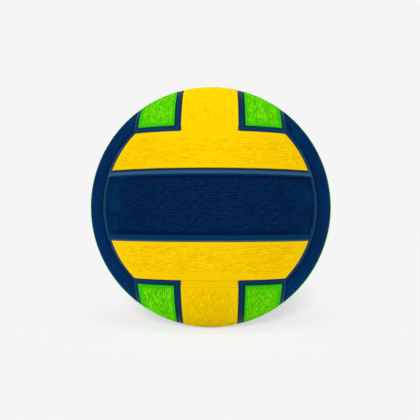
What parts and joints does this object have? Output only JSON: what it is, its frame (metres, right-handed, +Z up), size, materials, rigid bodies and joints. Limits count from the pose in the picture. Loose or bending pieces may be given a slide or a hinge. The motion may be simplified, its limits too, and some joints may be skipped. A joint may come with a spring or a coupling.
{
  "type": "water polo ball",
  "caption": "Round water polo ball with yellow, navy and green rubber panels inlaid in a channelled base over a thread-wound bladder, with a needle valve in the back panel.",
  "frame": {"origin": "centre of the ball", "axes": "+Z up as in the picture, -Y out of the front face that the picture shows, +X to the right of that face; the valve looks out of the back face along +Y"},
  "size_m": [0.22, 0.2199, 0.22],
  "materials": {
    "yellow_rubber": "matt, with fine wavy grip grooves and smooth edges",
    "green_rubber": "matt, with fine wavy grip grooves and smooth edges",
    "navy_rubber": "matt, with fine wavy grip grooves and smooth edges",
    "channel_rubber": "smooth and satin",
    "carcass_rubber": "matt, bonded and not seen",
    "winding_thread": "wound nylon thread, not seen",
    "butyl_rubber": "smooth, not seen",
    "patch_rubber": "matt, not seen",
    "valve_rubber": "smooth and satin"
  },
  "bodies": {
    "root": {"bladder": "butyl_rubber", "bladder_patch": "patch_rubber", "valve_housing": "valve_rubber", "valve_plug": "channel_rubber", "thread_winding": "winding_thread", "carcass_rubber": "carcass_rubber", "channel_base": "channel_rubber", "front_upper_panel": "yellow_rubber", "front_middle_panel": "navy_rubber", "front_lower_panel": "yellow_rubber", "back_upper_panel": "yellow_rubber", "back_middle_panel": "navy_rubber", "back_lower_panel": "yellow_rubber", "top_left_panel": "green_rubber", "top_middle_panel": "yellow_rubber", "top_right_panel": "green_rubber", "bottom_left_panel": "green_rubber", "bottom_middle_panel": "yellow_rubber", "bottom_right_panel": "green_rubber", "left_front_panel": "navy_rubber", "left_middle_panel": "green_rubber", "left_back_panel": "navy_rubber", "right_front_panel": "navy_rubber", "right_middle_panel": "green_rubber", "right_back_panel": "navy_rubber"}
  },
  "joints": []
}
